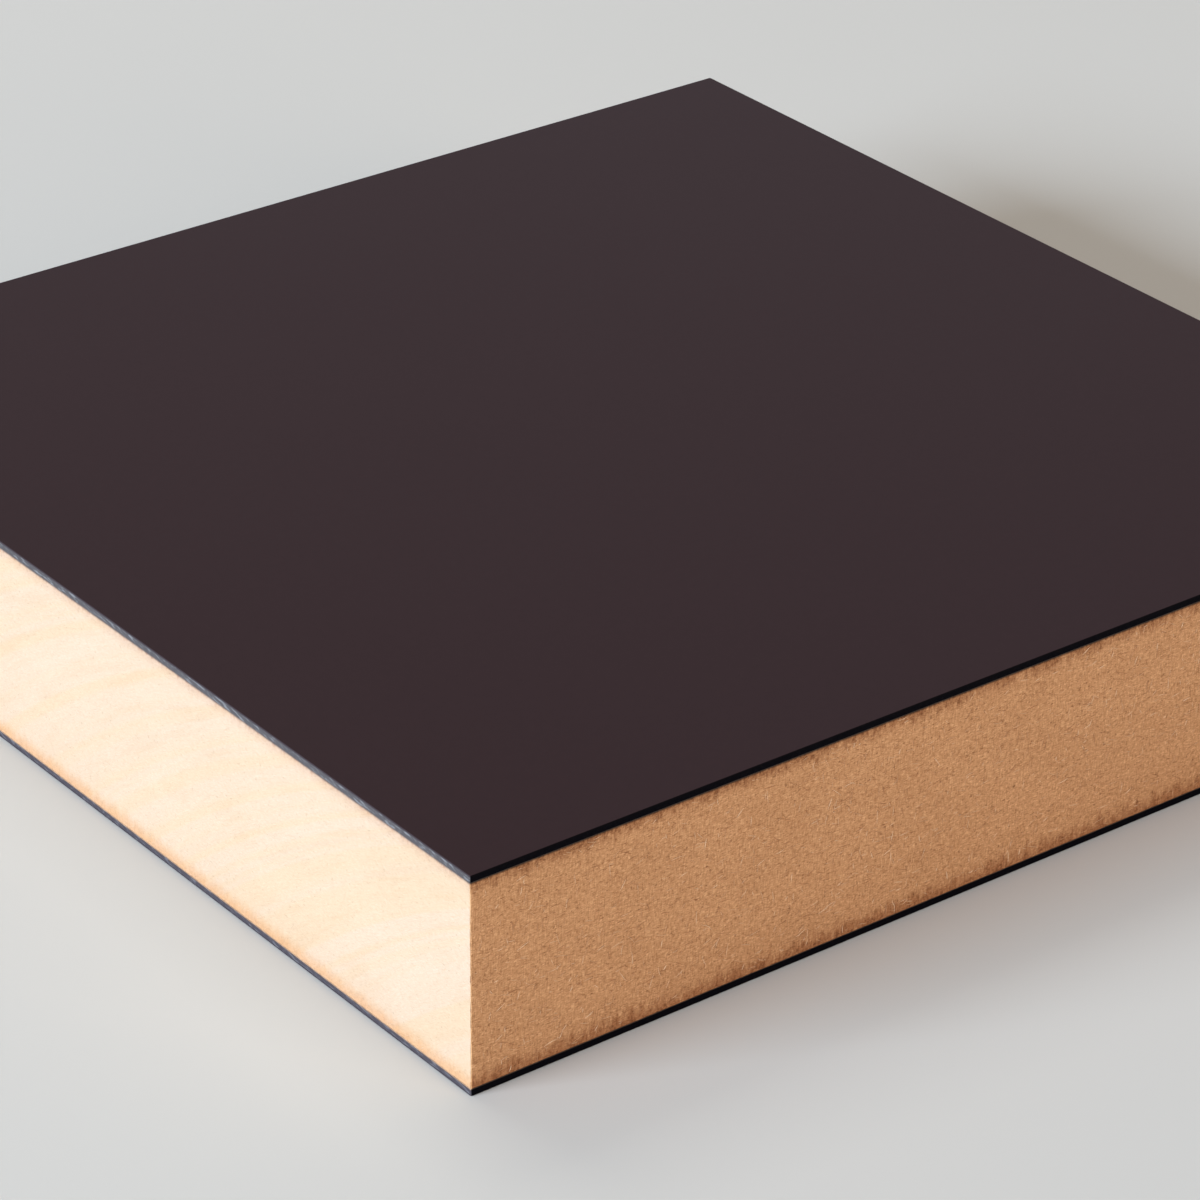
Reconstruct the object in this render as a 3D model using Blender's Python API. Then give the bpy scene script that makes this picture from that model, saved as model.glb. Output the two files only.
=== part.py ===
"""A square work slab for leather work: an MDF board with a thin dark laminate glued to each
broad face, and the four edges left as the saw cut them.

Run it with blender --background --python part.py, or from Blender's text editor.
Units are metres and +Z is up. The origin is at the middle of the underside.
"""

from collections import namedtuple

import bmesh
import bpy

# ---- Driving dimensions ----------------------------------------------------------------

SLAB_WIDTH = 0.150  # along X, edge to edge
SLAB_DEPTH = 0.150  # along Y, edge to edge

CORE_THICKNESS = 0.0248  # one MDF board, sold as 25 mm and sanded a little under
GLUE_THICKNESS = 0.00007  # the dried glue between the board and each laminate
BACKING_THICKNESS = 0.00065  # a laminate's body of black resin-soaked paper
FACE_THICKNESS = 0.00015  # a laminate's coloured paper, pressed onto that body

CORNER_EASE = 0.0002  # radius rubbed onto the four upright corners
ARRIS_EASE = 0.0001  # radius rubbed onto the rim of the top and bottom faces
MOST_RIM_SHARE = 0.8  # of the face paper's thickness that the rim radius may take
EASE_SEGMENTS = 3  # flat steps in each rubbed radius

# The sheets are bonded face to face. Each pulls back from a bonded face by half of this, so
# that two solids never share a face. A wider gap would be as deep as a glue line.
BOND_GAP = 0.00001

# ---- Finishes --------------------------------------------------------------------------

Finish = namedtuple("Finish", "name colour roughness")

MDF = Finish("mdf", (0.50, 0.28, 0.14), 0.85)
DRIED_GLUE = Finish("dried_glue", (0.050, 0.032, 0.022), 0.50)
BLACK_BACKING = Finish("black_backing", (0.012, 0.012, 0.015), 0.55)
DARK_FACE = Finish("dark_face", (0.022, 0.013, 0.016), 0.55)


def make_material(finish):
    """A Principled BSDF with the finish's colour and roughness. Nothing here is metal."""
    material = bpy.data.materials.new(finish.name)
    material.use_nodes = True
    shader = material.node_tree.nodes["Principled BSDF"]
    shader.inputs["Base Color"].default_value = (*finish.colour, 1.0)
    shader.inputs["Roughness"].default_value = finish.roughness
    shader.inputs["Metallic"].default_value = 0.0
    material.diffuse_color = (*finish.colour, 1.0)
    return material


# ---- The layers, from the bench up -----------------------------------------------------

# outer says which broad side of a layer is the slab's own outside, or None between layers.
Layer = namedtuple("Layer", "name thickness finish outer")

LAYERS = (
    Layer("bottom_laminate_face", FACE_THICKNESS, DARK_FACE, "bottom"),
    Layer("bottom_laminate_backing", BACKING_THICKNESS, BLACK_BACKING, None),
    Layer("bottom_glue_line", GLUE_THICKNESS, DRIED_GLUE, None),
    Layer("mdf_core", CORE_THICKNESS, MDF, None),
    Layer("top_glue_line", GLUE_THICKNESS, DRIED_GLUE, None),
    Layer("top_laminate_backing", BACKING_THICKNESS, BLACK_BACKING, None),
    Layer("top_laminate_face", FACE_THICKNESS, DARK_FACE, "top"),
)


# ---- Shapes ----------------------------------------------------------------------------


def clear_scene():
    for obj in list(bpy.data.objects):
        bpy.data.objects.remove(obj, do_unlink=True)


def new_collection(name):
    collection = bpy.data.collections.new(name)
    bpy.context.scene.collection.children.link(collection)
    return collection


def upright_edges(block):
    """The four edges that run along Z."""
    return [e for e in block.edges if abs(e.verts[0].co.z - e.verts[1].co.z) > 1e-9]


def rim_edges(block, outer):
    """The edges round the block's top or bottom face."""
    heights = [v.co.z for v in block.verts]
    level = max(heights) if outer == "top" else min(heights)
    return [e for e in block.edges if all(abs(v.co.z - level) < 1e-9 for v in e.verts)]


def ease(block, edges, radius):
    """Rounds edges to a small radius, as a few strokes of abrasive paper do."""
    bmesh.ops.bevel(
        block,
        geom=edges,
        offset=radius,
        offset_type="OFFSET",
        affect="EDGES",
        segments=EASE_SEGMENTS,
        profile=0.5,
        material=-1,
        clamp_overlap=True,
    )


def sheet_mesh(layer, thickness):
    """A flat rectangular sheet centred on its own origin, with its corners eased."""
    block = bmesh.new()
    bmesh.ops.create_cube(block, size=1.0)
    bmesh.ops.scale(block, vec=(SLAB_WIDTH, SLAB_DEPTH, thickness), verts=block.verts)
    ease(block, upright_edges(block), CORNER_EASE)
    if layer.outer:
        rim_radius = min(ARRIS_EASE, MOST_RIM_SHARE * thickness)
        ease(block, rim_edges(block, layer.outer), rim_radius)
    mesh = bpy.data.meshes.new(layer.name)
    block.to_mesh(mesh)
    block.free()
    return mesh


def add_layer(layer, seat, parent, material, collection):
    """Lays one sheet with its lower side at height seat, and returns its object."""
    below = 0.0 if layer.outer == "bottom" else BOND_GAP / 2
    above = 0.0 if layer.outer == "top" else BOND_GAP / 2
    thickness = layer.thickness - below - above
    sheet = bpy.data.objects.new(layer.name, sheet_mesh(layer, thickness))
    sheet.data.materials.append(material)
    sheet.parent = parent
    sheet.location = (0.0, 0.0, seat + below + thickness / 2)
    collection.objects.link(sheet)
    return sheet


def build_slab():
    """Stacks the layers from the bench up, on an empty at the middle of the underside."""
    collection = new_collection("laminated_work_slab")
    middle = bpy.data.objects.new("underside_middle", None)
    middle.empty_display_size = SLAB_WIDTH / 10
    collection.objects.link(middle)
    materials = {layer.finish: None for layer in LAYERS}
    for finish in materials:
        materials[finish] = make_material(finish)
    seat = 0.0
    for layer in LAYERS:
        add_layer(layer, seat, middle, materials[layer.finish], collection)
        seat += layer.thickness


clear_scene()
build_slab()
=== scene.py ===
# %% [markdown]
# # A laminated work slab, dressed over its CAD solids
# The slab is one block of MDF with a thin dark laminate glued to each broad face. Its four
# edges are left as the saw cut them, so that is where nearly all of its character lies: felted
# wood fibres, the curved marks of a panel saw, and the scraped black edge of the laminate.
#
# The CAD solids already hold every size. This lesson leaves them where they are and makes a
# finer piece for each one, read from the CAD box, so nothing has to be fitted by eye.

import math
import random

import bmesh
import bpy
from mathutils import Euler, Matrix, Quaternion, Vector, noise


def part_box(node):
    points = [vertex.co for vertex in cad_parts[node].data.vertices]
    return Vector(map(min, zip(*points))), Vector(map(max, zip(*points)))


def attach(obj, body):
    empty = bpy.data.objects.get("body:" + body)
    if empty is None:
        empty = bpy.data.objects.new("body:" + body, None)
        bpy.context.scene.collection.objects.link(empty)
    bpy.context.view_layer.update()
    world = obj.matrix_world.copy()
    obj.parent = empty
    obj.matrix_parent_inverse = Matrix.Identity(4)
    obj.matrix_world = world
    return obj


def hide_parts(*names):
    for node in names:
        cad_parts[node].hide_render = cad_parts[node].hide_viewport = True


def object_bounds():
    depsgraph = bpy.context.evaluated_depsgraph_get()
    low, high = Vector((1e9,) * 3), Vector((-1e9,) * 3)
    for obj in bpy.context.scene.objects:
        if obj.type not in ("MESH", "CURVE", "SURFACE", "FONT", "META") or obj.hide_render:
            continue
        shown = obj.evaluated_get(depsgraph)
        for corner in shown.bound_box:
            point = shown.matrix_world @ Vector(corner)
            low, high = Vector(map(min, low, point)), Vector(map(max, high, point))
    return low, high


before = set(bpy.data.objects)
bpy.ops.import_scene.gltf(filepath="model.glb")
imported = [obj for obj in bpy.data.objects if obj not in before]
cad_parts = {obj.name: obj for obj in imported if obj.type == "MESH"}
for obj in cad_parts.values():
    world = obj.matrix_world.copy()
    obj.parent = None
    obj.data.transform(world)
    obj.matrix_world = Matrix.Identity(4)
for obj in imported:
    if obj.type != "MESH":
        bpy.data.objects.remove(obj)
cad_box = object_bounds()
MM = 0.001
print("solids:", ", ".join(sorted(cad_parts)))
print("box in mm:", [round(side / MM, 2) for side in cad_box[1] - cad_box[0]])

# %% [markdown]
# ## A block whose four sides can carry detail
# Every layer of the slab is a flat block. A modeller could carve each one, but they differ
# only in their height and in how finely their sides are cut up. So one recipe makes them all:
# start from a cube, round its upright corners, then cut its sides into columns and rows with
# subdivide_edges. The broad faces stay single faces, because the neighbours cover them.

# %% The block recipe
CORNER_RADIUS = 0.2 * MM
CORNER_STEPS = 3
LONG_EDGE = 50 * MM  # longer than any edge of a rounded corner, shorter than any side
CREASE = math.radians(40)  # edges that turn more than this stay sharp
UPRIGHT_SHARE = 0.9  # how much of an upright edge's length is rise, at the least
LEVEL_NORMAL = 0.999  # how far up or down a broad face's normal points, at the least


def block_between(low, high):
    """A closed box with these lowest and highest corners."""
    block = bmesh.new()
    bmesh.ops.create_cube(block, size=1.0)
    bmesh.ops.scale(block, vec=high - low, verts=block.verts)
    bmesh.ops.translate(block, vec=(low + high) / 2, verts=block.verts)
    return block


def is_upright(edge):
    rise = abs(edge.verts[0].co.z - edge.verts[1].co.z)
    return rise > UPRIGHT_SHARE * edge.calc_length()


def round_off(block, edges, radius):
    bmesh.ops.bevel(
        block,
        geom=edges,
        offset=radius,
        offset_type="OFFSET",
        affect="EDGES",
        segments=CORNER_STEPS,
        profile=0.5,
        material=-1,
        clamp_overlap=True,
    )


def cut_into_columns(block, width):
    """Cuts every long level edge, so that the sides become upright columns about this wide."""
    long_edges = [e for e in block.edges if not is_upright(e) and e.calc_length() > LONG_EDGE]
    columns = round(long_edges[0].calc_length() / width)
    bmesh.ops.subdivide_edges(block, edges=long_edges, cuts=columns - 1)
    return columns


def cut_into_rows(block, rows):
    """Cuts every upright edge, so that each column becomes this many cells."""
    upright = [e for e in block.edges if is_upright(e)]
    bmesh.ops.subdivide_edges(block, edges=upright, cuts=rows - 1)


def finish_piece(block, name, node, material):
    """Makes a bmesh into an object that stands for a CAD node and rides with the slab."""
    block.normal_update()
    mesh = bpy.data.meshes.new(name)
    block.to_mesh(mesh)
    block.free()
    mesh.shade_smooth()
    mesh.set_sharp_from_angle(angle=CREASE)
    for face in mesh.polygons:
        if abs(face.normal.z) > LEVEL_NORMAL:
            face.use_smooth = False  # the broad faces are truly flat
    mesh.materials.append(material)
    piece = bpy.data.objects.new(name, mesh)
    bpy.context.scene.collection.objects.link(piece)
    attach(piece, "root")
    if node:
        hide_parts(node)
    print(f"{name}: {len(mesh.polygons)} faces")


# %% [markdown]
# ## Where the saw went
# A panel saw's blade turns about a point below the board, so each tooth leaves part of a large
# circle on the cut edge. On the left and right edges these marks are easy to see: they climb
# towards one corner and flatten as they rise. The front and back edges were cut with a finer
# blade and show close, nearly upright scratches.
#
# Both cases come down to one number: how far a point lies *across* the marks. Points on one
# mark share it. It is kept on the mesh as an attribute, so that the ripple in the shape and
# the scratches in the colour always agree. A second attribute says which cuts are the coarse
# ones, and a third marks the left edge, lit strongly by the window, whose paler wood is painted
# light.

# %% Distance across the saw marks
BLADE_RADIUS = 178 * MM
BLADE_CENTRE_BELOW = 134 * MM  # from the underside of the slab down to the blade's axle
FINE_BLADE_LEAN = 0.05  # sideways lean of the front and back scratches, per unit of height


def faces_sideways(normal):
    """True on the left and right edges, and false on the front and back ones."""
    return abs(normal.x) > abs(normal.y)


def is_window_lit_edge(normal):
    """True on the left edge only, which the window lights strongly; its paler colour is painted
    light.
    """
    return faces_sideways(normal) and normal.x < 0.0


def blade_height_and_reach(place):
    height = place.z + BLADE_CENTRE_BELOW
    return height, math.sqrt(BLADE_RADIUS**2 - height**2)


def across_marks(place, normal):
    """How far a point lies across the saw marks, in metres."""
    if faces_sideways(normal):
        reach = blade_height_and_reach(place)[1]
        return math.copysign(1.0, -normal.x) * place.y - reach
    return math.copysign(1.0, -normal.y) * place.x - FINE_BLADE_LEAN * place.z


def along_marks(place, normal):
    """The direction, level with the side and of length 1, in which a mark runs here."""
    if faces_sideways(normal):
        height, reach = blade_height_and_reach(place)
        return Vector((0.0, math.copysign(height / reach, normal.x), 1.0)).normalized()
    return Vector((math.copysign(FINE_BLADE_LEAN, -normal.y), 0.0, 1.0)).normalized()


def note_cut(block, across_rule, *more_attributes):
    """Writes saw_across, coarse_cut and the window-lit edge's attribute (painted light), and
    returns each vertex's way out.

    A new attribute makes Blender renew its vertices, so every attribute that a piece needs is
    made here, before any vertex is kept.
    """
    block.normal_update()
    for name in ("saw_across", "coarse_cut", "window_lit_edge", *more_attributes):
        block.verts.layers.float.new(name)
    across_layer = block.verts.layers.float["saw_across"]
    coarse_layer = block.verts.layers.float["coarse_cut"]
    window_lit_layer = block.verts.layers.float["window_lit_edge"]
    outward = {}
    for vert in block.verts:
        normal = Vector((vert.normal.x, vert.normal.y, 0.0)).normalized()
        vert[across_layer] = across_rule(vert.co, normal)
        vert[coarse_layer] = 1.0 if faces_sideways(normal) else 0.0
        vert[window_lit_layer] = 1.0 if is_window_lit_edge(normal) else 0.0
        outward[vert] = normal
    return outward


sample = Vector((-75 * MM, 0.0, 13 * MM))
slope = along_marks(sample, Vector((-1, 0, 0)))
print("marks on the left edge climb at", round(math.degrees(math.asin(slope.z))), "degrees")

# %% [markdown]
# ## Noise that always comes out the same
# Perlin noise from mathutils gives the same value at the same place on every run. Each use
# below reads it at its own offset, so that two effects never line up by chance.

# %% Noise helpers


def ripple(distance, pitch, seed):
    """Noise along one direction, from 0 to 1, with waves about one pitch long."""
    return 0.5 + 0.5 * noise.noise(Vector((distance / pitch, seed, 0.37)))


def mottle(place, long, short, seed):
    """Noise from 0 to 1 in lumps, long in the plane of the board and short in height."""
    return 0.5 + 0.5 * noise.noise(
        Vector((place.x / long + seed, place.y / long - seed, place.z / short))
    )


print("ripple:", round(ripple(0.0031, 0.0024, 3.0), 3))

# %% [markdown]
# ## Shader groups for the finishes
# Four effects are too long to repeat, so each is a node group with named inputs: wood fibres,
# saw scratches, a height band, and fine dust. The scratches and the band turn up on several
# materials. A group only puts out masks and heights. The Principled shader itself stays in
# each material.

# %% Node helpers


def new_group(name, inputs, outputs):
    """An empty shader group with float or vector inputs and float outputs."""
    group = bpy.data.node_groups.new(name, "ShaderNodeTree")
    for label, default in inputs.items():
        kind = "NodeSocketVector" if default is None else "NodeSocketFloat"
        socket = group.interface.new_socket(label, in_out="INPUT", socket_type=kind)
        if default is not None:
            socket.default_value = default
    for label in outputs:
        group.interface.new_socket(label, in_out="OUTPUT", socket_type="NodeSocketFloat")
    return group, group.nodes.new("NodeGroupInput"), group.nodes.new("NodeGroupOutput")


def feed(tree, socket, value):
    """Links a socket to another one, or sets it to a plain value."""
    if isinstance(value, bpy.types.NodeSocket):
        tree.links.new(value, socket)
    elif value is not None:
        socket.default_value = value


def sums(tree, operation, first, second=None, third=None, clamp=False):
    node = tree.nodes.new("ShaderNodeMath")
    node.operation = operation
    node.use_clamp = clamp
    for socket, value in zip(node.inputs, (first, second, third)):
        feed(tree, socket, value)
    return node.outputs["Value"]


def ramp(tree, value, low, high, to_low=0.0, to_high=1.0):
    """Maps a value from one range to another with soft ends."""
    node = tree.nodes.new("ShaderNodeMapRange")
    node.interpolation_type = "SMOOTHSTEP"
    for label, given in (
        ("Value", value),
        ("From Min", low),
        ("From Max", high),
        ("To Min", to_low),
        ("To Max", to_high),
    ):
        feed(tree, node.inputs[label], given)
    return node.outputs["Result"]


def cloud(tree, vector, scale, detail, roughness=0.5, distortion=0.0):
    """Noise texture in three dimensions."""
    node = tree.nodes.new("ShaderNodeTexNoise")
    feed(tree, node.inputs["Vector"], vector)
    feed(tree, node.inputs["Scale"], scale)
    feed(tree, node.inputs["Detail"], detail)
    feed(tree, node.inputs["Roughness"], roughness)
    feed(tree, node.inputs["Distortion"], distortion)
    return node.outputs["Fac"]


def stretched(tree, vector, scale, turn=(0.0, 0.0, 0.0)):
    node = tree.nodes.new("ShaderNodeMapping")
    feed(tree, node.inputs["Vector"], vector)
    node.inputs["Scale"].default_value = scale
    node.inputs["Rotation"].default_value = turn
    return node.outputs["Vector"]


def tint(tree, share, first, second, mode="MIX"):
    """Mixes two colours by a share from 0 to 1."""
    node = tree.nodes.new("ShaderNodeMix")
    node.data_type = "RGBA"
    node.blend_type = mode
    feed(tree, node.inputs["Factor"], share)
    for label, value in (("A", first), ("B", second)):
        socket = next(s for s in node.inputs if s.name == label and s.type == "RGBA")
        feed(tree, socket, value if isinstance(value, bpy.types.NodeSocket) else (*value, 1.0))
    return next(s for s in node.outputs if s.type == "RGBA")


print("node helpers ready")

# %% [markdown]
# ### Wood fibres
# MDF is wood that has been steamed, torn to threads and pressed flat again. The threads lie in
# the plane of the board, so on a cut edge they show as short, nearly level dashes. Noise that
# is squeezed in height makes the dashes. It is used twice, turned a little either way, so that
# the dashes cross like felt. A coarser noise adds bundles, and another dots in specks of bark.

# %% Wood fibre group
PER_MM = 1.0 / MM
THREAD_SQUEEZE = (2.3, 2.3, 9.5)  # thread pattern repeats per mm along X, Y and Z

fibres, given, result = new_group(
    "wood_fibres",
    {"Vector": None, "Speck Share": 0.5},
    ("Light", "Dark", "Speck", "Cloud", "Height"),
)
place = given.outputs["Vector"]
rising_place = stretched(fibres, place, THREAD_SQUEEZE, (0.40, 0.40, 0.0))
falling_place = stretched(fibres, place, THREAD_SQUEEZE, (-0.35, -0.35, 0.0))
rising = cloud(fibres, rising_place, PER_MM, 2.0, 0.65)
falling = cloud(fibres, falling_place, PER_MM, 2.0, 0.65)
bundle = cloud(fibres, stretched(fibres, place, (1.2, 1.2, 3.0)), PER_MM, 2.0, 0.5, 0.4)
dots = cloud(fibres, stretched(fibres, place, (2.2, 2.2, 2.9)), PER_MM, 1.0, 0.4)
broad = cloud(fibres, stretched(fibres, place, (0.09, 0.09, 0.16)), PER_MM, 3.0)
crossed = sums(fibres, "MULTIPLY", sums(fibres, "ADD", rising, falling), 0.41)
grain = sums(fibres, "ADD", crossed, sums(fibres, "MULTIPLY", bundle, 0.18))
specks = sums(fibres, "MULTIPLY", ramp(fibres, dots, 0.70, 0.75), given.outputs["Speck Share"])
feed(fibres, result.inputs["Light"], ramp(fibres, grain, 0.51, 0.61))
feed(fibres, result.inputs["Dark"], ramp(fibres, grain, 0.48, 0.38))
feed(fibres, result.inputs["Speck"], specks)
feed(fibres, result.inputs["Cloud"], broad)
sunk_specks = sums(fibres, "MULTIPLY", specks, 0.3)
feed(fibres, result.inputs["Height"], sums(fibres, "SUBTRACT", grain, sunk_specks))
print("wood_fibres:", len(fibres.nodes), "nodes")

# %% [markdown]
# ### Saw scratches
# The attribute *across* is a plain length, so noise along it gives scratches that follow the
# marks exactly, straight or curved. The height above the bench is the noise's other
# coordinate, which ends each scratch after a while, like a real one.

# %% Saw scratch group
scratches, given, result = new_group(
    "saw_scratches",
    {"Across": 0.0, "Vector": None, "Width": 0.3, "Length": 1.5},
    ("Light", "Dark", "Height"),
)
parts = scratches.nodes.new("ShaderNodeSeparateXYZ")
feed(scratches, parts.inputs["Vector"], given.outputs["Vector"])
across_mm = sums(scratches, "MULTIPLY", given.outputs["Across"], PER_MM)
height_mm = sums(scratches, "MULTIPLY", parts.outputs["Z"], PER_MM)
over = sums(scratches, "DIVIDE", across_mm, given.outputs["Width"])
rise = sums(scratches, "DIVIDE", height_mm, given.outputs["Length"])
plane = scratches.nodes.new("ShaderNodeCombineXYZ")
feed(scratches, plane.inputs["X"], over)
feed(scratches, plane.inputs["Y"], rise)
line = cloud(scratches, plane.outputs["Vector"], 1.0, 2.0, 0.6)
feed(scratches, result.inputs["Light"], ramp(scratches, line, 0.52, 0.68))
feed(scratches, result.inputs["Dark"], ramp(scratches, line, 0.47, 0.34))
feed(scratches, result.inputs["Height"], line)
print("saw_scratches:", len(scratches.nodes), "nodes")

# %% [markdown]
# ### Height band
# The press packs a board's two skins harder than its middle, and they come out darker. The
# band is a mask that is full at a given height and fades over a given depth, with a ragged
# inner limit. A second mask keeps only upright streaks of it, as the blade's heat leaves them.

# %% Height band group
band, given, result = new_group(
    "height_band",
    {"Vector": None, "Level": 0.0, "Depth": 1.0, "Raggedness": 0.5},
    ("Mask", "Streaks"),
)
place = given.outputs["Vector"]
parts = band.nodes.new("ShaderNodeSeparateXYZ")
feed(band, parts.inputs["Vector"], place)
offset = sums(band, "SUBTRACT", parts.outputs["Z"], given.outputs["Level"])
gap = sums(band, "MULTIPLY", sums(band, "ABSOLUTE", offset), PER_MM)
rags = cloud(band, stretched(band, place, (1.0, 1.0, 0.30)), PER_MM, 3.0, 0.75)
wander = sums(band, "MULTIPLY", sums(band, "SUBTRACT", rags, 0.5), given.outputs["Raggedness"])
share = sums(band, "ADD", sums(band, "DIVIDE", gap, given.outputs["Depth"]), wander)
mask = ramp(band, share, 1.0, 0.0)
streak = cloud(band, stretched(band, place, (3.0, 3.0, 1.8)), PER_MM, 2.0, 0.7)
feed(band, result.inputs["Mask"], mask)
streaks = sums(band, "MULTIPLY", mask, ramp(band, streak, 0.48, 0.60))
feed(band, result.inputs["Streaks"], streaks)
print("height_band:", len(band.nodes), "nodes")

# %% [markdown]
# ### Fine dust and handling
# A laminate is never quite even: hands leave it a touch smoother in places, and sawdust dulls
# it in others. The group gives a broad smear mask and a sparse speck mask.

# %% Dust group
dust, given, result = new_group(
    "fine_dust", {"Vector": None, "Speck Size": 0.12, "Amount": 0.5}, ("Smear", "Speck")
)
smear = cloud(dust, given.outputs["Vector"], 0.03 * PER_MM, 4.0, 0.55, 0.6)
cells = dust.nodes.new("ShaderNodeTexVoronoi")
cells.feature = "F1"
feed(dust, cells.inputs["Vector"], given.outputs["Vector"])
feed(dust, cells.inputs["Scale"], 0.16 * PER_MM)
feed(dust, cells.inputs["Randomness"], 1.0)
width = sums(dust, "MULTIPLY", given.outputs["Speck Size"], 0.16)
near = sums(dust, "LESS_THAN", cells.outputs["Distance"], width)
pick = sums(dust, "LESS_THAN", cells.outputs["Color"], given.outputs["Amount"])
feed(dust, result.inputs["Smear"], smear)
feed(dust, result.inputs["Speck"], sums(dust, "MULTIPLY", near, pick))
print("fine_dust:", len(dust.nodes), "nodes")

# %% [markdown]
# ## The finishes
# Each material reads Object coordinates, which are the slab's own metres, because every piece
# keeps its place in its mesh. That lets one pattern run on unbroken from piece to piece.

# %% Material helpers


def new_material(name):
    material = bpy.data.materials.new(name)
    material.use_nodes = True
    tree = material.node_tree
    place = tree.nodes.new("ShaderNodeTexCoord").outputs["Object"]
    return material, tree, tree.nodes["Principled BSDF"], place


def use_group(tree, group, **inputs):
    """Places a group. Underscores in the keywords stand for spaces in its sockets' names."""
    node = tree.nodes.new("ShaderNodeGroup")
    node.node_tree = group
    for label, value in inputs.items():
        feed(tree, node.inputs[label.replace("_", " ")], value)
    return node.outputs


def attribute(tree, name):
    node = tree.nodes.new("ShaderNodeAttribute")
    node.attribute_name = name
    return node.outputs["Fac"]


def bump(tree, height, depth, normal=None):
    """A bump of this depth in metres for a height from 0 to 1."""
    node = tree.nodes.new("ShaderNodeBump")
    feed(tree, node.inputs["Height"], height)
    feed(tree, node.inputs["Distance"], depth)
    feed(tree, node.inputs["Strength"], 1.0)
    feed(tree, node.inputs["Normal"], normal)
    return node.outputs["Normal"]


def cover(tree, colour, mask, strength, with_colour):
    """Covers a colour with another where a mask is high."""
    return tint(tree, sums(tree, "MULTIPLY", mask, strength), colour, with_colour)


def stain(tree, colour, mask, strength, factors):
    """Multiplies a colour by three factors where a mask is high: under 1 darkens it."""
    return tint(tree, sums(tree, "MULTIPLY", mask, strength), colour, factors, "MULTIPLY")


print("material helpers ready")

# %% [markdown]
# ### Sawn MDF
# The colour is built the way the board is: a mid brown, lighter and darker threads in it, two
# dark skins, and marks where the blade rubbed, whitened towards blue on the coarse cuts as
# painted sheen. The left edge, lit strongly by the window, is painted paler than the other
# three as painted light. Its threads and skins are painted to stand out less, as in that glare,
# and small scorched specks follow its upper seam. The shader itself does not shine.

# %% MDF material
core_low, core_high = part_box("mdf_core")
BROWN_WOOD = (0.545, 0.288, 0.136)
# painted light: the left edge's colour, paler because the window lights that side strongly
WINDOW_LIT_PALE_WOOD = (0.608, 0.428, 0.270)
BLADE_BURN = (0.50, 0.37, 0.29)  # factors on the wood's colour, like the next two
PALER_THREAD = (1.40, 1.55, 1.70)
DARKER_THREAD = (0.50, 0.42, 0.34)

sawn_mdf, tree, shader, place = new_material("sawn_mdf")
coarse = attribute(tree, "coarse_cut")
window_lit = attribute(tree, "window_lit_edge")
marks = attribute(tree, "saw_mark")
across = attribute(tree, "saw_across")


def on_cuts(brown_value, window_lit_value):
    """A number that differs between the brown edges and the window-lit left one, painted paler.
    """
    return ramp(tree, window_lit, 0.0, 1.0, brown_value, window_lit_value)


ragged = on_cuts(2.4, 0.8)
wood = use_group(tree, fibres, Vector=place, Speck_Share=0.9)
close = use_group(tree, scratches, Across=across, Vector=place, Width=0.19, Length=0.9)
wide = use_group(tree, scratches, Across=across, Vector=place, Width=3.6, Length=8.0)
lower = use_group(tree, band, Vector=place, Level=core_low.z, Depth=2.3, Raggedness=ragged)
upper = use_group(tree, band, Vector=place, Level=core_high.z, Depth=1.8, Raggedness=ragged)
inner = use_group(tree, band, Vector=place, Level=core_low.z, Depth=8.0, Raggedness=0.5)
scorch = use_group(tree, band, Vector=place, Level=core_high.z, Depth=0.7, Raggedness=1.4)
seam = use_group(tree, band, Vector=place, Level=core_high.z, Depth=0.35, Raggedness=0.4)

# painted light: on the window-lit left edge the wood, its skins and seam take paler copies, and
# threads and marks weaker shares
colour = tint(tree, window_lit, BROWN_WOOD, WINDOW_LIT_PALE_WOOD)
arcs = ramp(tree, coarse, 0.0, 1.0, 0.04, 0.17)
# painted sheen share for the rubbed marks, full only on the coarse cuts
painted_sheen_share = ramp(tree, coarse, 0.0, 1.0, 0.00, 0.45)
pressed_low = tint(tree, window_lit, (0.300, 0.108, 0.037), (0.600, 0.315, 0.140))
pressed_high = tint(tree, window_lit, (0.270, 0.105, 0.038), (0.450, 0.238, 0.142))
colour = cover(tree, colour, lower["Mask"], on_cuts(0.66, 0.80), pressed_low)
colour = cover(tree, colour, upper["Mask"], on_cuts(0.66, 0.37), pressed_high)
colour = stain(tree, colour, lower["Streaks"], on_cuts(0.58, 0.16), BLADE_BURN)
colour = stain(tree, colour, upper["Streaks"], on_cuts(0.66, 0.05), BLADE_BURN)
colour = stain(tree, colour, scorch["Streaks"], on_cuts(0.0, 0.55), (0.72, 0.46, 0.36))
colour = stain(tree, colour, inner["Mask"], on_cuts(0.16, 0.06), (0.60, 0.50, 0.40))
patches = ramp(tree, wood["Cloud"], 0.58, 0.40)
colour = stain(tree, colour, patches, on_cuts(0.10, 0.05), (0.70, 0.64, 0.58))
colour = stain(tree, colour, wood["Light"], on_cuts(0.72, 0.14), PALER_THREAD)
colour = stain(tree, colour, wood["Dark"], on_cuts(0.73, 0.17), DARKER_THREAD)
colour = stain(tree, colour, close["Light"], on_cuts(0.35, 0.05), PALER_THREAD)
colour = stain(tree, colour, close["Dark"], on_cuts(0.37, 0.04), DARKER_THREAD)
colour = stain(tree, colour, wide["Dark"], arcs, (0.88, 0.78, 0.66))
colour = stain(tree, colour, wide["Light"], arcs, (1.04, 1.10, 1.18))
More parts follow.
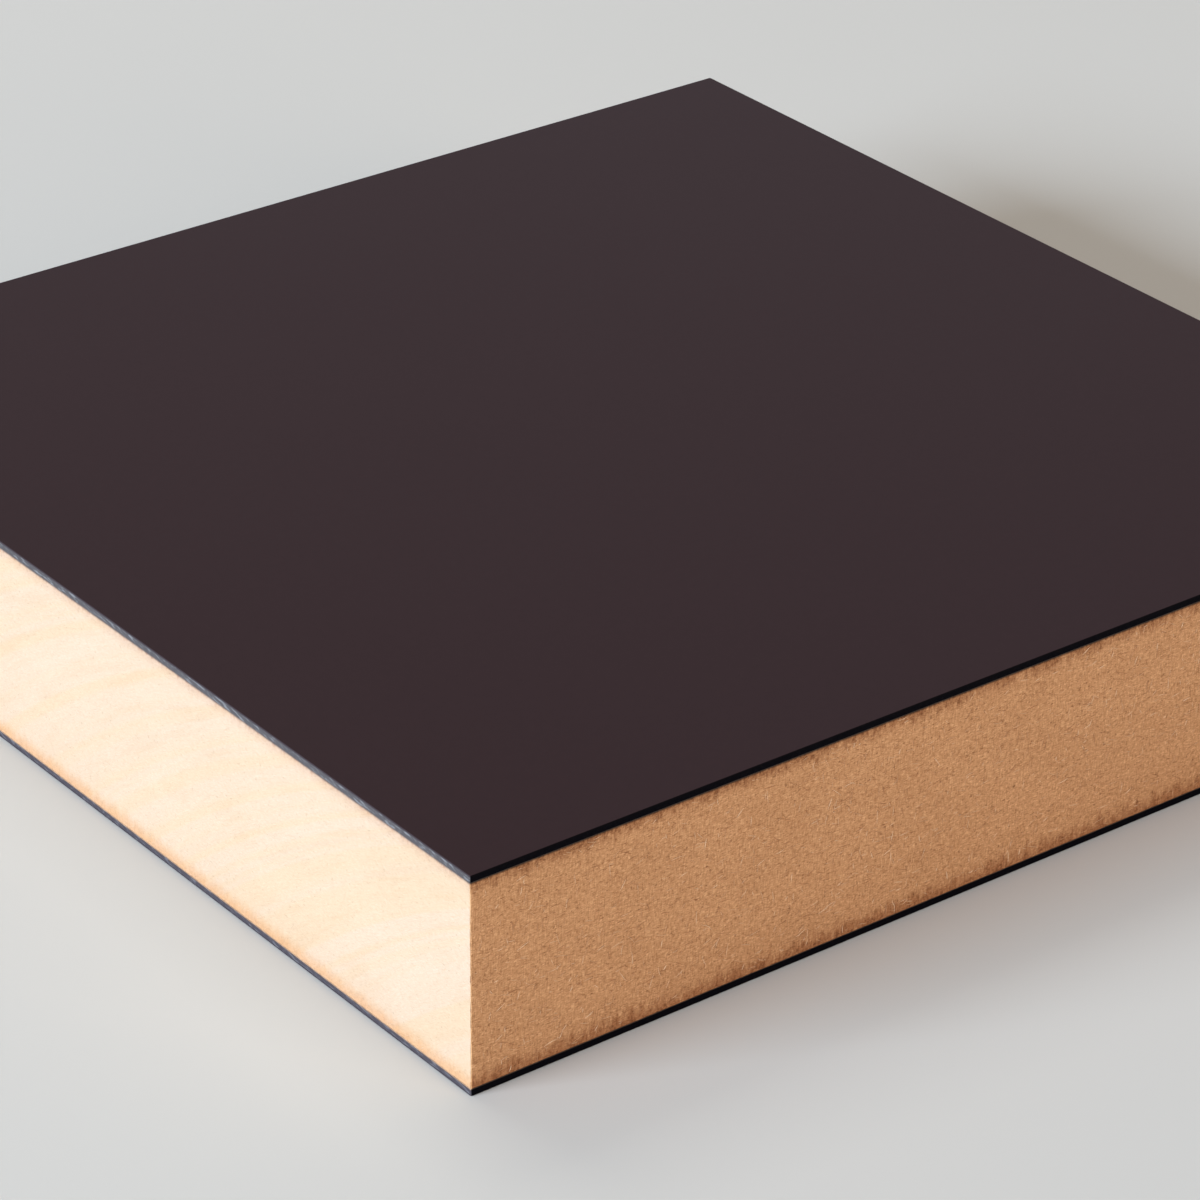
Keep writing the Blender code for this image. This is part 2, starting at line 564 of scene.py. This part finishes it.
# painted sheen: rubbed saw marks on the coarse cuts are whitened towards blue, standing in for
# the window's glint on them
rubbed = ramp(tree, marks, 0.42, 0.62)
colour = stain(tree, colour, rubbed, painted_sheen_share, (1.00, 1.05, 1.22))
colour = stain(tree, colour, wood["Speck"], on_cuts(0.62, 0.20), (0.34, 0.26, 0.20))
colour = cover(tree, colour, attribute(tree, "corner"), 0.55, (0.78, 0.42, 0.17))
glued = tint(tree, window_lit, (0.020, 0.012, 0.008), (0.120, 0.095, 0.085))
colour = cover(tree, colour, seam["Mask"], 0.92, glued)
feed(tree, shader.inputs["Base Color"], colour)
feed(tree, shader.inputs["Roughness"], ramp(tree, wood["Height"], 0.3, 0.7, 0.95, 0.82))
shader.inputs["Specular IOR Level"].default_value = 0.25
threads = bump(tree, wood["Height"], 0.040 * MM)
feed(tree, shader.inputs["Normal"], bump(tree, close["Height"], 0.036 * MM, threads))
print("sawn_mdf:", len(tree.nodes), "nodes")

# %% [markdown]
# ### Scraped black backing
# The laminate's body is kraft paper soaked in resin and pressed hard. On the coarse cuts its
# edge
# is a bluish grey with paler nicks: the scratches are real, but the grey and the nicks'
# paleness are painted sheen of the window's light on the scraped edge. The fine cuts leave it
# nearly black. The lower sheet is painted darker than the upper one, as painted shade near the
# floor, and sawdust has caught along its upper rim.

# %% Black backing material
black_backing, tree, shader, place = new_material("scraped_black_backing")
coarse = attribute(tree, "coarse_cut")
across = attribute(tree, "saw_across")
nicks = use_group(tree, scratches, Across=across, Vector=place, Width=1.3, Length=0.45)
hairs = use_group(tree, scratches, Across=across, Vector=place, Width=0.45, Length=0.30)
bench_side = use_group(tree, band, Vector=place, Level=0.0, Depth=8.0, Raggedness=0.0)
# painted sheen: the coarse cuts' bluish grey and paler nicks stand in for window light glancing
# off the scraped edge; the scratch pattern is real
scrape_with_painted_sheen = tint(tree, hairs["Light"], (0.084, 0.075, 0.074), (0.132, 0.121, 0.120))
scrape_with_painted_sheen = cover(tree, scrape_with_painted_sheen, nicks["Light"], 0.52, (0.290, 0.287, 0.286))
# painted shade: the lower sheet, near the floor, is darkened
scrape_with_painted_sheen = cover(tree, scrape_with_painted_sheen, bench_side["Mask"], 0.36, (0.022, 0.012, 0.034))
caught = use_group(tree, band, Vector=place, Level=0.8 * MM, Depth=0.10, Raggedness=0.6)
scrape_with_painted_sheen = cover(tree, scrape_with_painted_sheen, caught["Mask"], 0.7, (0.360, 0.230, 0.140))
clean = tint(tree, hairs["Light"], (0.0010, 0.0009, 0.0024), (0.0022, 0.0020, 0.0040))
feed(tree, shader.inputs["Base Color"], tint(tree, coarse, clean, scrape_with_painted_sheen))
feed(tree, shader.inputs["Roughness"], ramp(tree, hairs["Height"], 0.3, 0.7, 0.62, 0.48))
shader.inputs["Specular IOR Level"].default_value = 0.03
feed(tree, shader.inputs["Normal"], bump(tree, hairs["Height"], 0.02 * MM))
print("scraped_black_backing:", len(tree.nodes), "nodes")

# %% [markdown]
# ### Dark work face
# The decor paper is a very dark brown with a hint of plum, under a matt resin with a skin as
# fine as suede. Like suede it looks paler at a low angle, which is what a little sheen is for.
# Its sawn edge is painted paler on the coarse cuts, as painted sheen of the window's light
# catching that edge. The attribute *cut_edge* says where the paper was sawn.

# %% Dark face material
SKIN = (0.0268, 0.0129, 0.0131)
SKIN_IN_PLACES = (0.0280, 0.0135, 0.0137)

dark_face, tree, shader, place = new_material("dark_satin_face")
coarse = attribute(tree, "coarse_cut")
cut = attribute(tree, "cut_edge")
haze = use_group(tree, dust, Vector=place, Speck_Size=0.3, Amount=0.10)
suede = cloud(tree, place, 7.0 * PER_MM, 2.0, 0.6)
calm = cloud(tree, place, 0.9 * PER_MM, 3.0, 0.55)
skin = tint(tree, ramp(tree, calm, 0.3, 0.7), SKIN, SKIN_IN_PLACES)
skin = cover(tree, skin, haze["Speck"], 0.02, (0.40, 0.36, 0.34))
# painted sheen: the sawn edge is paler on the coarse cuts, standing in for the window's light
# catching it
sawn_edge_painted_sheen = tint(tree, coarse, (0.0028, 0.0022, 0.0030), (0.050, 0.037, 0.040))
feed(tree, shader.inputs["Base Color"], tint(tree, cut, skin, sawn_edge_painted_sheen))
feed(tree, shader.inputs["Roughness"], ramp(tree, haze["Smear"], 0.3, 0.75, 0.73, 0.78))
shader.inputs["Specular IOR Level"].default_value = 0.03
shader.inputs["Sheen Weight"].default_value = 0.2
shader.inputs["Sheen Roughness"].default_value = 0.3
feed(tree, shader.inputs["Normal"], bump(tree, suede, 0.0015 * MM))
print("dark_satin_face:", len(tree.nodes), "nodes")

# %% [markdown]
# ### Dried glue
# Contact adhesive dries to a thin dark film. Only its outer lip shows, between the wood and
# the black paper. Sawdust falls, so the lower film has caught more of it and is browner.

# %% Glue material
dried_glue, tree, shader, place = new_material("dusty_dried_glue")
lumps = cloud(tree, place, 1.6 * PER_MM, 3.0, 0.6)
bench_side = use_group(tree, band, Vector=place, Level=0.0, Depth=8.0, Raggedness=0.0)
clean = tint(tree, ramp(tree, lumps, 0.35, 0.65), (0.012, 0.009, 0.008), (0.045, 0.028, 0.018))
dusty = tint(tree, ramp(tree, lumps, 0.35, 0.65), (0.380, 0.220, 0.130), (0.560, 0.360, 0.220))
caught = sums(tree, "MULTIPLY", bench_side["Mask"], attribute(tree, "coarse_cut"))
feed(tree, shader.inputs["Base Color"], tint(tree, caught, clean, dusty))
feed(tree, shader.inputs["Roughness"], ramp(tree, lumps, 0.35, 0.65, 0.40, 0.72))
feed(tree, shader.inputs["Normal"], bump(tree, lumps, 0.02 * MM))
print("dusty_dried_glue:", len(tree.nodes), "nodes")

# %% [markdown]
# ### Loose fibres
# The threads that the blade pulled loose run from straw to bark brown. Each one carries its
# own number, the attribute *fibre_tint*, which picks its colour. On the window-lit left edge
# they are painted paler, as painted light.

# %% Loose fibre material
loose_fibre, tree, shader, place = new_material("loose_wood_fibre")
window_lit = attribute(tree, "window_lit_edge")
own = attribute(tree, "fibre_tint")
colour = tint(tree, ramp(tree, own, 0.0, 0.5), (0.34, 0.160, 0.070), (0.54, 0.29, 0.140))
colour = tint(tree, ramp(tree, own, 0.5, 0.9), colour, (0.80, 0.57, 0.36))
# painted light: strands on the window-lit left edge take its paler colour
colour = cover(tree, colour, window_lit, 0.94, (0.64, 0.46, 0.30))
streak = cloud(tree, place, 2.0 * PER_MM, 2.0)
colour = cover(tree, colour, streak, 0.25, (0.45, 0.24, 0.12))
feed(tree, shader.inputs["Base Color"], colour)
feed(tree, shader.inputs["Roughness"], ramp(tree, streak, 0.3, 0.7, 0.70, 0.90))
shader.inputs["Specular IOR Level"].default_value = 0.25
print("loose_wood_fibre:", len(tree.nodes), "nodes")

# %% [markdown]
# ## The board
# The board's sides are cut into cells of about 0.4 mm, fine enough to hold the blade's ripple,
# the slightly hollow soft middle and the little pits where a bundle of fibres was torn out.
# All of it is sunk below the CAD side, so that nothing stands proud of the real size.

# %% Shape of a sawn side
BOARD_SINK = 0.05 * MM  # how far the flattest part of the side lies below the CAD side
RIPPLE_DEPTH = 0.035 * MM
HOLLOW_DEPTH = 0.02 * MM
GRAIN_DEPTH = 0.03 * MM
PIT_DEPTH = 0.10 * MM
CRUMBLE_DEPTH = 0.60 * MM
BOARD_COLUMN = 0.42 * MM
BOARD_ROWS = 60
FINE_BLADE_SHARE = 0.35  # how strongly the fine blade rubbed, next to the coarse one
TORN_ABOVE = 0.74  # the mottle's level above which fibres were torn out
CRUMBLED_ABOVE = 0.40  # the mottle's level above which a corner has crumbled


def blade_mark(across, sideways):
    """How strongly the blade rubbed here, from 0 to 1. Broad bands, each of several marks."""
    broad = ripple(across, 2.3 * MM, 11.0)
    close = ripple(across, 0.9 * MM, 23.0)
    return (0.7 * broad + 0.3 * close) * (1.0 if sideways else FINE_BLADE_SHARE)


def board_depth(place, mark):
    """How far a point of the side is sunk, in metres."""
    share = (place.z - core_low.z) / (core_high.z - core_low.z)
    hollow = 1.0 - abs(2.0 * share - 1.0) ** 4
    grain = mottle(place, 0.9 * MM, 0.5 * MM, 5.0)
    torn = mottle(place, 1.6 * MM, 0.8 * MM, 41.0) - TORN_ABOVE
    sunk = BOARD_SINK + RIPPLE_DEPTH * (1.0 - mark) + HOLLOW_DEPTH * hollow
    return sunk + GRAIN_DEPTH * grain + PIT_DEPTH * max(0.0, torn) / (1.0 - TORN_ABOVE)


def at_corner(place):
    """True on the rounded part of an upright corner, its two limits left out."""
    to_corner = max(core_high.x - abs(place.x), core_high.y - abs(place.y))
    return to_corner < 0.99 * CORNER_RADIUS


def crumble(place):
    """How much of an upright corner has crumbled away here, in metres. None elsewhere."""
    if not at_corner(place):
        return 0.0
    return CRUMBLE_DEPTH * max(0.0, mottle(place, 0.8 * MM, 0.5 * MM, 53.0) - CRUMBLED_ABOVE)


# %% Make the board
board = block_between(core_low, core_high)
round_off(board, [e for e in board.edges if is_upright(e)], CORNER_RADIUS)
columns = cut_into_columns(board, BOARD_COLUMN)
cut_into_rows(board, BOARD_ROWS)
outward = note_cut(board, across_marks, "saw_mark", "corner")
mark_layer = board.verts.layers.float["saw_mark"]
corner_layer = board.verts.layers.float["corner"]
for vert, normal in outward.items():
    mark = blade_mark(across_marks(vert.co, normal), faces_sideways(normal))
    vert[mark_layer] = mark
    vert[corner_layer] = 1.0 if at_corner(vert.co) else 0.0
    vert.co -= normal * (board_depth(vert.co, mark) + crumble(vert.co))
print(columns, "columns by", BOARD_ROWS, "rows on each side")
finish_piece(board, "sawn_board", "mdf_core", sawn_mdf)

# %% [markdown]
# ## Threads that the blade pulled loose
# Under a lens the sawn sides are furry: short threads lie over the surface, dragged along by
# the teeth on the coarse cuts and lying level on the fine ones. A particle system could grow
# them, but they have to lie in the shallow hollow of the side, never above the real size. So
# one template is made with operators, a tapered three-sided strand. It is copied many times
# into one mesh, and each copy's points are then laid on the board with the same depth rule
# that shaped it.

# %% The strand template
STRAND_RINGS = 4

strand = bmesh.new()
bmesh.ops.create_cone(strand, cap_ends=True, segments=3, radius1=0.5, radius2=0.5, depth=1.0)
cut_into_rows(strand, STRAND_RINGS - 1)
tips = [v for v in strand.verts if abs(v.co.z) > 0.45]
bmesh.ops.scale(strand, vec=(0.35, 0.35, 1.0), verts=tips)
strand_mesh = bpy.data.meshes.new("strand_template")
strand.to_mesh(strand_mesh)
strand.free()
STRAND_POINTS = len(strand_mesh.vertices)
print("strand:", STRAND_POINTS, "points,", len(strand_mesh.polygons), "faces")

# %% Lay the strands
STRANDS_PER_SIDE = 3000
SIDE_MARGIN = 0.4 * MM  # keeps a strand's middle off the ends of a side
LEAST_DEPTH = 0.004 * MM  # a strand never comes closer to the CAD side than this


def random_strand(normal, chance):
    """Chooses a strand: its middle, direction, length, thickness, curl and lift."""
    length = chance.triangular(0.25, 1.9, 0.5) * MM
    room = core_high.x - SIDE_MARGIN - length / 2
    level = Vector((-normal.y, normal.x, 0.0))
    middle = normal * core_high.x + level * chance.uniform(-room, room)
    middle.z = chance.uniform(core_low.z + SIDE_MARGIN, core_high.z - SIDE_MARGIN)
    coarse_side = faces_sideways(normal)
    turn = chance.gauss(0.0, 10.0 if coarse_side else 20.0)  # degrees off the marks
    if not coarse_side and chance.random() < 0.7:
        turn += 90.0
    direction = along_marks(middle, normal)
    direction.rotate(Quaternion(normal, math.radians(turn)))
    thickness = chance.triangular(0.020, 0.065, 0.034) * MM
    return {
        "middle": middle,
        "direction": direction,
        "sideways": normal.cross(direction),
        "length": length,
        "thickness": thickness * (1.0 if coarse_side else 1.5),
        "ridge": 0.3 if coarse_side else 0.7,
        "curl": chance.gauss(0.0, 0.16),
        "lift": chance.uniform(0.0, 0.008 if coarse_side else 0.03) * MM,
    }


def place_point(shape, normal, fibre):
    """Moves a template point onto the side. The template's Z runs along the strand."""
    along = shape.z * fibre["length"]
    bend = fibre["curl"] * shape.z**2 * fibre["length"]
    place = fibre["middle"] + fibre["direction"] * along
    place += fibre["sideways"] * (bend + shape.x * fibre["thickness"])
    place.z = min(max(place.z, core_low.z), core_high.z)
    mark = blade_mark(across_marks(place, normal), faces_sideways(normal))
    arch = fibre["lift"] * (1.0 - 4.0 * shape.z**2)
    ridge = (shape.y + 0.4) * fibre["thickness"] * fibre["ridge"]
    depth = board_depth(place, mark) - arch - ridge
    return place - normal * max(depth, LEAST_DEPTH)


def lay_strands(name, normal, seed):
    chance = random.Random(seed)
    tangle = bmesh.new()
    for _ in range(STRANDS_PER_SIDE):
        tangle.from_mesh(strand_mesh)
    tint_layer = tangle.verts.layers.float.new("fibre_tint")
    window_lit_layer = tangle.verts.layers.float.new("window_lit_edge")
    tangle.verts.ensure_lookup_table()
    for index in range(STRANDS_PER_SIDE):
        fibre = random_strand(normal, chance)
        own_tint = chance.random()
        first = index * STRAND_POINTS
        for vert in tangle.verts[first : first + STRAND_POINTS]:
            vert.co = place_point(vert.co, normal, fibre)
            vert[tint_layer] = own_tint
            vert[window_lit_layer] = 1.0 if is_window_lit_edge(normal) else 0.0
    finish_piece(tangle, name, None, loose_fibre)


lay_strands("front_fibres", Vector((0.0, -1.0, 0.0)), 5)
lay_strands("back_fibres", Vector((0.0, 1.0, 0.0)), 6)
lay_strands("left_fibres", Vector((-1.0, 0.0, 0.0)), 7)
lay_strands("right_fibres", Vector((1.0, 0.0, 0.0)), 8)
bpy.data.meshes.remove(strand_mesh)

# %% [markdown]
# ## The laminate's black backing
# Each backing sheet is only 0.65 mm thick, but its edge is a clear line all round the slab, so
# it gets real scratches. The teeth that return on the far side of the blade leave them, so
# they fall towards the corner that the marks in the wood climb to.

# %% Make the backing sheets
BACKING_COLUMN = 0.15 * MM
BACKING_ROWS = 4
BACKING_SINK = 0.01 * MM
SCRATCH_DEPTH = 0.022 * MM
SCRATCH_RUN = 2.2  # how far a returning tooth's mark runs along the edge, per unit of fall


def across_returning_marks(place, normal):
    """Across the marks that the blade's returning side leaves, which slant the other way."""
    if faces_sideways(normal):
        return math.copysign(1.0, -normal.x) * place.y - SCRATCH_RUN * place.z
    return across_marks(place, normal)


def make_backing(node, name):
    sheet = block_between(*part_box(node))
    round_off(sheet, [e for e in sheet.edges if is_upright(e)], CORNER_RADIUS)
    cut_into_columns(sheet, BACKING_COLUMN)
    cut_into_rows(sheet, BACKING_ROWS)
    for vert, normal in note_cut(sheet, across_returning_marks).items():
        across = across_returning_marks(vert.co, normal)
        wander = 0.6 * ripple(across, 1.1 * MM, 7.0) + 0.4 * ripple(across, 0.4 * MM, 8.0)
        vert.co -= normal * (BACKING_SINK + SCRATCH_DEPTH * wander)
    finish_piece(sheet, name, node, black_backing)


make_backing("bottom_laminate_backing", "bottom_backing_sheet")
make_backing("top_laminate_backing", "top_backing_sheet")

# %% [markdown]
# ## The decor sheets
# The thin coloured paper carries the arris that fingers meet first. It is rubbed to a small
# round, and along it the blade has broken out a few chips too small to feel.

# %% Make the decor sheets
FACE_COLUMN = 0.25 * MM
ARRIS_RADIUS = 0.09 * MM
CHIP_DEPTH = 0.03 * MM
CHIPPED_ABOVE = 0.76  # the ripple's level above which the arris is chipped
SAME_LEVEL = 0.0001 * MM  # two heights closer than this are one


def chip(place, seed):
    """Depth of a chip at this place along the arris: nothing nearly everywhere."""
    along = place.x + place.y * 1.37
    broken = ripple(along, 0.7 * MM, seed) - CHIPPED_ABOVE
    return CHIP_DEPTH * max(0.0, broken) / (1.0 - CHIPPED_ABOVE)


def make_face(node, name, outer, seed):
    low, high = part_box(node)
    sheet = block_between(low, high)
    round_off(sheet, [e for e in sheet.edges if is_upright(e)], CORNER_RADIUS)
    level = high.z if outer == "top" else low.z
    rim = [e for e in sheet.edges if all(abs(v.co.z - level) < SAME_LEVEL for v in e.verts)]
    round_off(sheet, rim, ARRIS_RADIUS)
    cut_into_columns(sheet, FACE_COLUMN)
    outward = note_cut(sheet, across_marks, "cut_edge")
    cut_layer = sheet.verts.layers.float["cut_edge"]
    for vert, normal in outward.items():
        on_face = abs(vert.co.z - level) < SAME_LEVEL
        vert[cut_layer] = 0.0 if on_face else 1.0
        if not on_face:
            vert.co -= normal * chip(vert.co, seed)
    finish_piece(sheet, name, node, dark_face)


make_face("bottom_laminate_face", "bottom_decor_sheet", "bottom", 61.0)
make_face("top_laminate_face", "top_decor_sheet", "top", 67.0)

# %% [markdown]
# ## The glue films
# A glue film stops a little short of the sawn side, by an amount that wanders.

# %% Make the glue films
GLUE_COLUMN = 0.6 * MM
GLUE_SINK = 0.02 * MM
GLUE_WANDER = 0.05 * MM


def make_glue(node, name, seed):
    film = block_between(*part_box(node))
    round_off(film, [e for e in film.edges if is_upright(e)], CORNER_RADIUS)
    cut_into_columns(film, GLUE_COLUMN)
    for vert, normal in note_cut(film, across_marks).items():
        wander = ripple(vert.co.x + 1.7 * vert.co.y, 2.0 * MM, seed)
        vert.co -= normal * (GLUE_SINK + GLUE_WANDER * wander)
    finish_piece(film, name, node, dried_glue)


make_glue("bottom_glue_line", "bottom_glue_film", 71.0)
make_glue("top_glue_line", "top_glue_film", 73.0)

# %% [markdown]
# ## A floor, a window and a camera
# The slab lies on a plain pale floor. One large soft light stands low on the left, like a
# window, and a weaker warm one fills the front. Three faint lights, one overhead and two
# behind, stand for a pale room and keep the far floor from going grey. The camera looks down
# on the near corner through a long lens, so the edges hardly converge.

# %% Floor
FLOOR_HALF = 1.0
FLOOR_DROP = 0.02 * MM  # keeps the floor clear of the underside
FLOOR_COLOUR = (0.545, 0.522, 0.469, 1.0)

ground = bmesh.new()
bmesh.ops.create_grid(ground, x_segments=1, y_segments=1, size=FLOOR_HALF)
bmesh.ops.translate(ground, vec=(0.0, 0.0, -FLOOR_DROP), verts=ground.verts)
floor_mesh = bpy.data.meshes.new("pale_floor")
ground.to_mesh(floor_mesh)
ground.free()
floor = bpy.data.objects.new("pale_floor", floor_mesh)
bpy.context.scene.collection.objects.link(floor)
floor_paint, tree, shader, place = new_material("pale_floor")
shader.inputs["Base Color"].default_value = FLOOR_COLOUR
shader.inputs["Roughness"].default_value = 0.9
shader.inputs["Specular IOR Level"].default_value = 0.0
floor_mesh.materials.append(floor_paint)
print("floor:", 2 * FLOOR_HALF, "m square")

# %% Lights
AIR_COLOUR = (1.0, 0.96, 0.93, 1.0)
AIR_STRENGTH = 0.22


def soft_light(name, position, aim, width, height, watts, colour):
    """A rectangular light at a position, turned to face a point."""
    lamp = bpy.data.lights.new(name, "AREA")
    lamp.shape = "RECTANGLE"
    lamp.size = width
    lamp.size_y = height
    lamp.energy = watts
    lamp.color = colour
    holder = bpy.data.objects.new(name, lamp)
    holder.location = position
    holder.rotation_euler = (Vector(aim) - Vector(position)).to_track_quat("-Z", "Y").to_euler()
    bpy.context.scene.collection.objects.link(holder)


def around(azimuth, elevation, distance):
    """A point round the slab's middle: azimuth 0 is the front, 90 the right, in degrees."""
    a = math.radians(azimuth)
    e = math.radians(elevation)
    level = math.cos(e)
    return Vector((math.sin(a) * level, -math.cos(a) * level, math.sin(e))) * distance


slab_middle = (cad_box[0] + cad_box[1]) / 2
soft_light("window", around(-91, 23, 3.0), slab_middle, 2.2, 0.74, 154.0, (0.84, 1.0, 1.24))
soft_light("front_fill", around(12, 14, 3.0), slab_middle, 1.6, 1.6, 42.0, (1.0, 0.80, 0.66))
soft_light("overhead", (0.0, 0.3, 3.0), slab_middle, 3.0, 3.0, 11.5, (1.0, 1.0, 1.02))
soft_light("far_wash", (0.1, 1.1, 1.4), (0.1, 1.0, 0.0), 0.9, 0.9, 8.5, (1.0, 0.98, 0.99))
soft_light("back_soft", (0.25, 0.85, 0.95), slab_middle, 0.8, 0.8, 1.2, (1.0, 0.98, 0.97))
world = bpy.data.worlds.new("studio_air")
world.use_nodes = True
air = world.node_tree.nodes["Background"]
air.inputs["Color"].default_value = AIR_COLOUR
air.inputs["Strength"].default_value = AIR_STRENGTH
bpy.context.scene.world = world
bpy.context.scene.view_settings.view_transform = "Standard"

# %% Camera
SENSOR_WIDTH = 36.0  # mm
LENS = 150.06  # mm
CAMERA_PLACE = Vector((-0.32646, -0.42243, 0.28915))
LOOK_RIGHT = 37.607  # degrees from +Y towards +X
LOOK_DOWN = 28.314
LEAN = 0.511  # the camera's own tilt about its line of sight

camera_data = bpy.data.cameras.new("camera")
camera_data.sensor_width = SENSOR_WIDTH
camera_data.lens = LENS
camera_data.clip_start = 0.01
camera = bpy.data.objects.new("camera", camera_data)
camera.location = CAMERA_PLACE
upright_turn = Euler((math.radians(90 - LOOK_DOWN), 0.0, math.radians(-LOOK_RIGHT)), "XYZ")
camera.rotation_mode = "QUATERNION"
camera.rotation_quaternion = upright_turn.to_quaternion() @ Euler(
    (0.0, 0.0, math.radians(LEAN)), "XYZ"
).to_quaternion()
bpy.context.scene.collection.objects.link(camera)
bpy.context.scene.camera = camera
print("camera to near corner:", round((CAMERA_PLACE - cad_box[0]).length, 3), "m")

# %% [markdown]
# ## The size
# The dressed slab is made to fill the same box as the CAD solids; the cell prints that box.

# %% Sizes and finish
print("CAD box:", cad_box)
